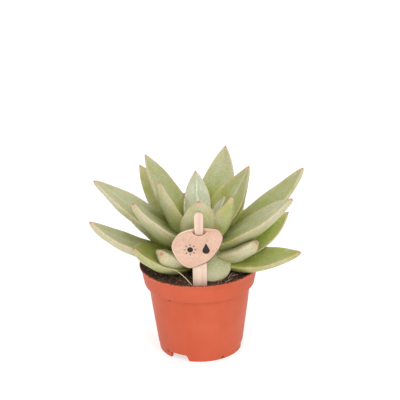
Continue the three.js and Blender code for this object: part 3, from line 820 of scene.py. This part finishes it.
def add_soil():
    angles = 2 * math.pi * np.arange(SOIL_SIDES) / SOIL_SIDES
    radii = SOIL_RADIUS * (np.arange(1, SOIL_RINGS + 1) / SOIL_RINGS)
    x = radii[::-1, None] * np.cos(angles)[None, :]
    y = radii[::-1, None] * np.sin(angles)[None, :]
    jitter = dice.uniform(-0.12, 0.12, (2,) + x.shape)
    x[1:], y[1:] = x[1:] + jitter[0, 1:], y[1:] + jitter[1, 1:]
    z = soil_height(x, y) + soil_roughness(x, y) + dice.uniform(-0.13, 0.13, x.shape)
    z[0] = np.minimum(z[0], SOIL_EDGE + 0.4)
    z[beside_stick(x, y, 5.4, -36.6)] -= STICK_DIP
    top = np.stack([x, y, z], axis=2).reshape(-1, 3)
    wall = [(r * math.cos(a), r * math.sin(a), h) for r, h in SOIL_WALL for a in angles]
    points = np.vstack([[(0, 0, SOIL_FLOOR)], wall, top, [(0, 0, SOIL_EDGE + 1)]])
    faces = capped_faces(len(SOIL_WALL) + SOIL_RINGS, SOIL_SIDES)
    obj = make_object("soil_bed", points, faces, SOIL, ["potting_soil"])
    attribute(obj.data, "shade", np.zeros(len(points)))
    return obj


def ball():
    shape = bmesh.new()
    bmesh.ops.create_icosphere(shape, subdivisions=1, radius=1)
    shape.verts.index_update()
    points = np.array([v.co[:] for v in shape.verts])
    faces = [[v.index for v in f.verts] for f in shape.faces]
    shape.free()
    return points, faces


def join_bits(name, bits, shades, material, sharp):
    """Many small bodies in one piece of the soil, each with its own shade."""
    points, faces, tones, count = [], [], [], 0
    for (bit_points, bit_faces), shade in zip(bits, shades):
        faces += [tuple(corner + count for corner in face) for face in bit_faces]
        points.append(bit_points)
        tones.append(np.full(len(bit_points), shade))
        count += len(bit_points)
    obj = make_object(name, np.vstack(points), faces, material, (), sharp)
    attribute(obj.data, "shade", np.concatenate(tones))
    return obj


def rough_lump(place, size):
    rough = 1 + dice.uniform(-0.28, 0.28, len(BALL_POINTS))[:, None]
    stretch = dice.uniform(0.6, 1.15, 3) * (1, 1, 0.75)
    lump = BALL_POINTS * rough * stretch * size
    angle = dice.uniform(0, 2 * math.pi)
    spin = np.array([[math.cos(angle), -math.sin(angle), 0], [math.sin(angle), math.cos(angle), 0],
                     [0, 0, 1]])
    return lump @ spin.T + place, BALL_FACES


def add_crumbs():
    places, sizes, shades = [], [], []
    while len(places) < CRUMBS:
        angle, radius = dice.uniform(0, 2 * math.pi), CRUMBS_REACH * math.sqrt(dice.uniform(0.05, 1))
        x, y = radius * math.cos(angle), radius * math.sin(angle)
        if beside_stick(x, y, 6.5, -36):
            continue
        size = min(0.3 + dice.exponential(0.34), 1.7)
        z = float(soil_height(x, y) + soil_roughness(np.array(x), np.array(y)))
        places.append((x, y, z + size * 0.15))
        sizes.append(size)
        shades.append(dice.choice(CRUMB_SHADES, p=CRUMB_SHARES))
    # Crumbs left on the rim's inner edge, which rises outwards to the rim's top
    for angle in dice.uniform(0, 2 * math.pi, RIM_CRUMBS):
        radius, size = dice.uniform(40.7, 41.9), dice.uniform(0.25, 0.7)
        x, y = radius * math.cos(angle), radius * math.sin(angle)
        if beside_stick(x, y, 5.2, 0):
            continue
        places.append((x, y, min(63.7 + (radius - 40.7) * 1.3, POT_HEIGHT + 0.1)))
        sizes.append(size)
        shades.append(dice.choice(RIM_CRUMB_SHADES))
    lumps = [rough_lump(place, size) for place, size in zip(places, sizes)]
    return join_bits("soil_crumbs", lumps, shades, SOIL, 50)


def strand(path, radius, sides=6):
    """Points and faces of a round strand along a path, thinner towards its ends."""
    path = np.asarray(path, float)
    radii = radius * (0.45 + 0.55 * np.sin(math.pi * np.linspace(0.08, 0.92, len(path))))
    along = np.gradient(path, axis=0)
    along /= np.linalg.norm(along, axis=1, keepdims=True)
    side = np.cross(along, [0.13, 0.31, 0.94])
    side /= np.linalg.norm(side, axis=1, keepdims=True)
    up = np.cross(along, side)
    angles = 2 * math.pi * np.arange(sides) / sides
    rings = (path[:, None, :] + np.cos(angles)[None, :, None] * side[:, None, :] * radii[:, None, None]
             + np.sin(angles)[None, :, None] * up[:, None, :] * radii[:, None, None])
    faces = [face[::-1] for face in ring_faces(len(path), sides)]
    last = (len(path) - 1) * sides
    faces += [tuple(range(sides)), tuple(range(last + sides - 1, last - 1, -1))]
    return rings.reshape(-1, 3), faces


# Light straws on the soil, the first leaning on a leaf: radius and the points it runs through
LIGHT_STRANDS = (
    (0.32, (-17.76, -33.6, 73.82), (-15.23, -34.4, 72.84), (-12.54, -35.2, 71.02),
     (-9.51, -36.1, 68.34), (-6.84, -37.0, 65.3), (-5.63, -37.4, 64.02), (-5.0, -37.5, 63.2)),
    (0.24, (19.8, -31.1, 64.8), (21.4, -26.0, 65.3), (23.5, -21.1, 65.0)),
    (0.22, (21.9, -27.8, 65.0), (24.2, -26.4, 65.4), (26.9, -24.7, 64.9)),
    (0.2, (17.6, -36.0, 64.4), (20.4, -33.8, 65.0), (22.5, -31.2, 64.7)),
    (0.2, (14.6, -34.0, 64.6), (16.4, -31.0, 65.1), (18.5, -27.6, 64.8)),
)


def add_fibres():
    fibres = []
    for _ in range(FIBRES):
        angle, radius = dice.uniform(0, 2 * math.pi), FIBRES_REACH * math.sqrt(dice.uniform(0.1, 1))
        heading, bend = dice.uniform(0, 2 * math.pi), dice.uniform(-0.25, 0.25)
        x, y = radius * math.cos(angle), radius * math.sin(angle)
        path = []
        for step in range(8):
            z = float(soil_height(x, y) + soil_roughness(np.array(x), np.array(y)))
            path.append((x, y, z + 0.25 + 0.3 * math.sin(math.pi * step / 7)))
            x, y = x + FIBRE_STEP * math.cos(heading), y + FIBRE_STEP * math.sin(heading)
            heading += bend
            if math.hypot(x, y) > 40.2:
                break
        if len(path) > 3:
            fibres.append(strand(path, dice.uniform(0.07, 0.16)))
    shades = [0.0] * len(fibres)
    for radius, *corners in LIGHT_STRANDS:
        fine = np.linspace(0, len(corners) - 1, 17)
        path = path_points(fine, range(len(corners)), np.array(corners))
        fibres.append(strand(path, radius))
        shades.append(1.0 if radius > 0.3 else 0.5)
    return join_bits("soil_fibres", fibres, shades, STRAW, 60)


BALL_POINTS, BALL_FACES = ball()
add_soil()
add_crumbs()
add_fibres()


# Stem
def add_stem():
    profile = list(STEM_FOOT)
    for scar in range(SCARS):
        height = SCAR_START + scar * SCAR_PITCH
        swell = SCAR_SWELL * (-1) ** scar
        profile.append((float(stem_radius(height)) + swell, height))
    profile += [(1.3, STEM_TOP), (0, STEM_TOP + 0.1)]
    points, faces = turned(profile, STEM_SIDES)
    return make_object("scarred_stem", points, faces, STEM_SKIN, ["rosette_stem"])


add_stem()


# Label: everything is drawn upright in X and Z, then leaned outwards from its foot
def label_place():
    foot = Matrix.Translation((0, 0, -LABEL_FOOT * MM))
    lean = Matrix.Rotation(math.radians(LABEL_LEAN), 4, "X")
    place = Matrix.Translation((LABEL_SHIFT * MM, -LABEL_DISTANCE * MM, LABEL_FOOT * MM))
    return place @ lean @ foot


def arc_points(centre, radius, start, end, count):
    """Points on a circle in X and Z, between two angles in degrees."""
    return [(centre[0] + radius * math.cos(a), centre[1] + radius * math.sin(a))
            for a in np.linspace(math.radians(start), math.radians(end), count)]


def stick_outline():
    half, neck, head = STICK_WIDTH / 2, STICK_NECK_WIDTH / 2, STICK_HEAD_WIDTH / 2
    right = [(1, STICK_POINT), (half, STICK_POINT_END)]
    right += curve_points((half, STICK_WAIST_START), (half, STICK_SHOULDER), (neck, STICK_NECK), 8)
    right += curve_points((neck, STICK_NECK_TOP), (head, STICK_HEAD_FOOT), (head, STICK_HEAD_CENTRE), 8)
    right += arc_points((0, STICK_HEAD_CENTRE), head, 0, 90, 10)[1:]
    left = [(-x, z) for x, z in reversed(right[:-1])]
    return right + left


def bevelled_plate(outline, near, far, bevel):
    """An upright plate whose outer edges are rounded."""
    points, faces = prism(outline, near, far)
    shape = bmesh.new()
    corners = [shape.verts.new(p) for p in points]
    for face in faces:
        shape.faces.new([corners[i] for i in face])
    bmesh.ops.recalc_face_normals(shape, faces=shape.faces)
    flat = [e for e in shape.edges if abs(e.verts[0].co.y - e.verts[1].co.y) < 1e-6]
    bmesh.ops.bevel(shape, geom=flat, offset=bevel, segments=3, affect="EDGES", profile=0.6)
    bmesh.ops.triangulate(shape, faces=[f for f in shape.faces if len(f.verts) > 4])
    shape.verts.index_update()
    made = [v.co[:] for v in shape.verts], [tuple(v.index for v in f.verts) for f in shape.faces]
    shape.free()
    return made


def add_stick():
    half = STICK_THICKNESS / 2
    points, faces = bevelled_plate(stick_outline(), -half, half, STICK_BEVEL)
    return make_object("wooden_stick", points, faces, STICK_WOOD, ["label_stick"], 40,
                       label_place())


def closed_spline(corners, steps):
    """A smooth closed line through the corners."""
    corners = np.array(corners, float)
    made = []
    for i in range(len(corners)):
        a, b, c, d = (corners[(i + k) % len(corners)] for k in (-1, 0, 1, 2))
        for t in np.arange(steps) / steps:
            made.append(0.5 * (2 * b + (c - a) * t + (2 * a - 5 * b + 4 * c - d) * t ** 2
                               + (3 * b - a - 3 * c + d) * t ** 3))
    return np.array(made)


def slit_height(x):
    return SLIT_SAG + SLIT_RISE * ((x - SLIT_CENTRE) / SLIT_REACH) ** 2


def neck_side(x):
    """1 beside the stick's neck, falling to 0 at the slit's two ends."""
    left, right = SLIT_CENTRE - SLIT_REACH, SLIT_CENTRE + SLIT_REACH
    if x < 0:
        return 1 - float(smooth(NECK_ROOM, -left, -x))
    return 1 - float(smooth(NECK_ROOM, right, x))


def card_distance(x, z, above):
    """How far the card is bent back at this place, below or above the slit."""
    bent = TAG_BEND * float(smooth(TAG_BEND_FROM, TAG_BEND_TO, z))
    return bent + (TAG_BEND * above - bent) * neck_side(x)


def outline_span(outline, x):
    """Lowest and highest point of the outline at this x."""
    hits = []
    for (x1, z1), (x2, z2) in zip(outline, np.roll(outline, -1, axis=0)):
        if (x1 - x) * (x2 - x) <= 0 and abs(x2 - x1) > 1e-9:
            hits.append(z1 + (z2 - z1) * (x - x1) / (x2 - x1))
    return min(hits), max(hits)


def add_tag():
    outline = closed_spline(TAG_CORNERS, 24)
    low, high = outline[:, 0].min(), outline[:, 0].max()
    turn = np.linspace(0, math.pi, TAG_COLUMNS)
    columns = (low + high) / 2 - (high - low) / 2 * np.cos(turn)
    columns[0], columns[-1] = low + 0.01, high - 0.01
    left_end, right_end = SLIT_CENTRE - SLIT_REACH, SLIT_CENTRE + SLIT_REACH
    columns[np.argmin(np.abs(columns - left_end))] = left_end
    columns[np.argmin(np.abs(columns - right_end))] = right_end
    sheets = []
    for x in columns:
        bottom, top = outline_span(outline, x)
        inside = left_end < x < right_end
        slit = float(slit_height(x))
        if not inside:
            nearest = left_end if x <= left_end else right_end
            edge_low, edge_high = outline_span(outline, nearest)
            share = (float(slit_height(nearest)) - edge_low) / (edge_high - edge_low)
            slit = bottom + (top - bottom) * share
        tucked = float(np.clip((neck_side(x) - 0.3) / 0.7, 0, 1))
        start = SLIT_OPENING - (SLIT_OPENING + TONGUE_OVERLAP) * tucked if inside else 0.0
        below = np.linspace(bottom, slit, TAG_ROWS_BELOW + 1)
        above = np.linspace(slit + start, top, TAG_ROWS_ABOVE + 1)
        sheets.append([(x, card_distance(x, z, 0), z) for z in below]
                      + [(x, card_distance(x, z, 1), z) for z in above])
    sheets = np.array(sheets)
    count, tall = sheets.shape[:2]
    front = sheets + (0, TAG_FRONT, 0)
    rear = sheets + (0, TAG_FRONT + TAG_THICKNESS, 0)
    points = np.vstack([front.reshape(-1, 3), rear.reshape(-1, 3)])
    shift = count * tall
    faces, walls = [], []
    split = TAG_ROWS_BELOW + 1

    def at(column, row):
        return column * tall + row

    for column in range(count - 1):
        for row in range(tall - 1):
            if row + 1 == split:
                continue
            a, b = at(column, row), at(column + 1, row)
            c, d = b + 1, a + 1
            faces.append((a, b, c, d))
            faces.append((shift + d, shift + c, shift + b, shift + a))
        for row, flip in ((0, False), (split - 1, True), (split, False), (tall - 1, True)):
            a, b = at(column, row), at(column + 1, row)
            wall = (b, a, shift + a, shift + b)
            walls.append(wall[::-1] if flip else wall)
    for column, flip in ((0, False), (count - 1, True)):
        for row in range(tall - 1):
            if row + 1 == split:
                continue
            a, b = at(column, row), at(column, row + 1)
            wall = (a, b, shift + b, shift + a)
            walls.append(wall[::-1] if flip else wall)
    obj = loose_object("card_tag", points, faces + walls, place=label_place())
    mesh = obj.data
    flat = points[:, [0, 2]]
    away = np.linalg.norm(flat[:, None, :] - outline[None, :, :], axis=2)
    nearest = outline[np.argmin(away, axis=1)] - outline.mean(axis=0)
    nearest /= np.linalg.norm(nearest, axis=1, keepdims=True)
    # How far each edge faces the lower right, where the card's look paints shade; towards the upper
    # left it paints a highlight
    shaded_side = nearest @ np.array([0.8, -0.6])
    attribute(mesh, "rim", np.stack([away.min(axis=1), shaded_side, 0 * shaded_side], 1))
    mesh.materials.append(TAG_CARD)
    mesh.materials.append(TAG_EDGE)
    for index in range(len(faces), len(faces) + len(walls)):
        mesh.polygons[index].material_index = 1
    shape = bmesh.new()
    shape.from_mesh(mesh)
    bmesh.ops.remove_doubles(shape, verts=shape.verts, dist=0.004 * MM)
    bmesh.ops.recalc_face_normals(shape, faces=shape.faces)
    seen, spare = {}, []
    for face in shape.faces:
        key = tuple(sorted(v.index for v in face.verts))
        if key in seen:
            spare += [face, seen[key]]
        seen[key] = face
    bmesh.ops.delete(shape, geom=list(set(spare)), context="FACES")
    shape.to_mesh(mesh)
    shape.free()
    finish_mesh(mesh, 35)
    return claim(obj, ["label_tag"])


def add_print():
    """Plain care marks in dark ink: a sun and a water drop."""
    points, faces = [], []

    def plate(outline):
        made, sides = prism(outline, TAG_FRONT - 0.03, TAG_FRONT + 0.05)
        faces.extend(tuple(corner + len(points) for corner in side) for side in sides)
        points.extend(made)

    plate(arc_points(SUN_CENTRE, SUN_RADIUS, 0, 360, 33)[:-1])
    for ray in range(RAYS):
        angle = 2 * math.pi / RAYS * ray
        out = np.array([math.cos(angle), math.sin(angle)])
        wide = np.array([-out[1], out[0]]) * RAY_HALF_WIDTH
        near, far = SUN_CENTRE + out * RAY_START, SUN_CENTRE + out * RAY_END
        plate([tuple(near - wide), tuple(far - wide), tuple(far + wide), tuple(near + wide)])
    drop_top = (DROP_CENTRE[0], DROP_CENTRE[1] + DROP_HEIGHT)
    plate(arc_points(DROP_CENTRE, DROP_RADIUS, 150, 390, 25) + [drop_top])
    return make_object("tag_care_marks", points, faces, TAG_INK, (), 30, label_place())


add_stick()
add_tag()
add_print()


# Studio
def add_floor():
    mesh = bpy.data.meshes.new("studio_floor")
    mesh.from_pydata([(-9, -9, 0), (9, -9, 0), (9, 9, 0), (-9, 9, 0)], [], [(0, 1, 2, 3)])
    mesh.materials.append(floor_look())
    floor = new_object("studio_floor", mesh)


def add_lamp(name, direction, distance, width, height, power):
    lamp = bpy.data.lights.new(name, "AREA")
    lamp.shape = "ELLIPSE"
    lamp.size = width
    lamp.size_y = height
    lamp.energy = power
    obj = new_object(name, lamp)
    out = Vector(direction).normalized()
    obj.location = Vector(LAMP_AIM) + out * distance
    obj.rotation_mode = "QUATERNION"
    obj.rotation_quaternion = out.to_track_quat("Z", "Y")


def add_world():
    world = bpy.data.worlds.new("studio_air")
    world.use_nodes = True
    background = world.node_tree.nodes["Background"]
    background.inputs["Color"].default_value = (1.0, 1.0, 1.0, 1.0)
    background.inputs["Strength"].default_value = AIR_GLOW
    bpy.context.scene.world = world


def add_camera():
    lens = bpy.data.cameras.new("photo_view")
    lens.sensor_width = SENSOR_WIDTH
    lens.lens = LENS
    lens.clip_start, lens.clip_end = 0.01, 50
    camera = new_object("photo_view", lens)
    climb = math.radians(VIEW_ELEVATION)
    back = Vector((0, -math.cos(climb), math.sin(climb)))
    level = Matrix.Rotation(math.pi / 2 - climb, 4, "X")
    roll = Matrix.Rotation(math.radians(-VIEW_ROLL), 4, "Z")
    camera.matrix_world = Matrix.Translation(Vector(VIEW_AIM) + back * VIEW_DISTANCE) @ level @ roll
    bpy.context.scene.camera = camera


add_floor()
add_world()
for lamp in LAMPS:
    add_lamp(*lamp)
add_camera()
bpy.context.scene.view_settings.view_transform = "Standard"
